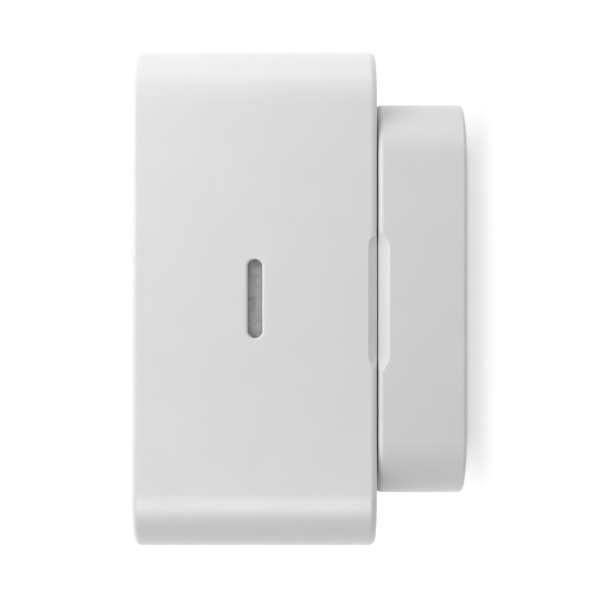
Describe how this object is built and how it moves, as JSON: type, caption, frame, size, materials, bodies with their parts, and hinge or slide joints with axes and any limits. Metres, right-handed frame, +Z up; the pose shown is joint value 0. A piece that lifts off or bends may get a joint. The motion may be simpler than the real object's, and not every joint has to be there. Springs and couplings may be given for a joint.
{
  "type": "video doorbell",
  "caption": "White battery video doorbell: a deep rounded housing with bell button, camera and motion window that pulls off a shallower wall base.",
  "frame": {"origin": "centre of the base's rear face, on the wall plane", "axes": "X across the width, -Y out from the wall towards the visitor, +Z up; the wall is the plane y = 0"},
  "size_m": [0.06, 0.0529, 0.0804],
  "materials": {
    "housing_white": "satin, very fine moulded grain",
    "base_white": "satin, very fine moulded grain",
    "cover_white": "fine moulded grain",
    "fascia_black": "high gloss",
    "button_black": "gloss",
    "black_plastic": "satin",
    "window_glass": "clear",
    "lens_glass": "coated",
    "filter_glass": "blue-green coating",
    "chip_black": "matte",
    "circuit_board": "solder mask",
    "flex_film": "film",
    "led_clear": "clear resin",
    "tin_can": "tinned",
    "milky_window": "satin, translucent",
    "ring_diffuser": "satin, translucent",
    "silicone_grey": "matte",
    "speaker_steel": "black zinc",
    "magnet_nickel": "nickel plate",
    "cone_film": "matte film",
    "sound_mesh": "woven mesh",
    "cell_wrap": "plastic wrap over an aluminium can",
    "reset_grey": "satin",
    "flap_rubber": "matte",
    "screw_steel": "zinc plated",
    "contact_gold": "gold plated",
    "terminal_brass": "plain",
    "spring_steel": "bright strip",
    "gasket_foam": "closed-cell foam"
  },
  "bodies": {
    "base": {"wall_base": "base_white", "terminal_block": "black_plastic", "terminal_screw_left": "terminal_brass", "terminal_screw_right": "terminal_brass", "pogo_block": "black_plastic", "retaining_spring_left": "spring_steel", "retaining_spring_right": "spring_steel", "wall_gasket": "gasket_foam"},
    "housing": {"front_shell": "housing_white", "front_fascia": "fascia_black", "camera_window": "window_glass", "lens_bezel": "black_plastic", "lens_barrel": "black_plastic", "lens_element": "lens_glass", "lens_holder": "black_plastic", "image_sensor": "chip_black", "camera_board": "circuit_board", "camera_flex": "flex_film", "sensor_board": "circuit_board", "ir_led_left": "led_clear", "ir_led_right": "led_clear", "light_sensor": "chip_black", "microphone": "tin_can", "pir_lens": "milky_window", "pir_sensor": "tin_can", "light_ring": "ring_diffuser", "ring_board": "circuit_board", "button_seal": "silicone_grey", "button_switch": "black_plastic", "main_board": "circuit_board", "rf_shield": "tin_can", "processor": "chip_black", "wifi_antenna": "flex_film", "speaker_frame": "speaker_steel", "speaker_magnet": "magnet_nickel", "sound_duct": "black_plastic", "sound_mesh_left": "sound_mesh", "sound_mesh_right": "sound_mesh", "battery_tray": "black_plastic", "battery_cell": "cell_wrap", "power_board": "circuit_board", "usb_port": "tin_can", "reset_switch": "black_plastic", "back_cover": "cover_white", "cover_seal": "silicone_grey", "cover_screw_1": "screw_steel", "cover_screw_2": "screw_steel", "cover_screw_3": "screw_steel", "cover_screw_4": "screw_steel", "contact_pad_left": "contact_gold", "contact_pad_right": "contact_gold"},
    "bell_button": {"button_cap": "button_black", "button_stem": "black_plastic"},
    "speaker_cone": {"speaker_cone": "cone_film"},
    "ir_cut_filter": {"ir_cut_filter": "filter_glass"},
    "reset_button": {"reset_button": "reset_grey"},
    "usb_flap": {"usb_flap": "flap_rubber"},
    "pogo_pins": {"pogo_pin_left": "contact_gold", "pogo_pin_right": "contact_gold"}
  },
  "joints": [
    {"name": "housing_pull", "type": "slide", "parent": "base", "child": "housing", "axis": [0, -1, 0], "range_m": [0, 0.03], "deforming": ["retaining_spring_left", "retaining_spring_right"]},
    {"name": "bell_press", "type": "slide", "parent": "housing", "child": "bell_button", "axis": [0, 1, 0], "range_m": [0, 0.0006], "stiffness_N_per_m": 1500, "springref_m": -0.001},
    {"name": "cone_travel", "type": "slide", "parent": "housing", "child": "speaker_cone", "axis": [0, 1, 0], "range_m": [-0.0003, 0.0003], "stiffness_N_per_m": 900},
    {"name": "night_filter", "type": "slide", "parent": "housing", "child": "ir_cut_filter", "axis": [1, 0, 0], "range_m": [0, 0.006]},
    {"name": "reset_press", "type": "slide", "parent": "housing", "child": "reset_button", "axis": [0, -1, 0], "range_m": [0, 0.0005], "stiffness_N_per_m": 1200, "springref_m": -0.001},
    {"name": "flap_hinge", "type": "hinge", "parent": "housing", "child": "usb_flap", "pos_m": [0, -0.0149, -0.0365], "axis": [-1, 0, 0], "range_deg": [0, 110], "stiffness_Nm_per_rad": 0.0006},
    {"name": "pin_extend", "type": "slide", "parent": "base", "child": "pogo_pins", "axis": [0, -1, 0], "range_m": [0, 0.0006]}
  ],
  "couplings": [
    {"joint": "pin_extend", "follows": "housing_pull", "ratio": 0.02}
  ]
}
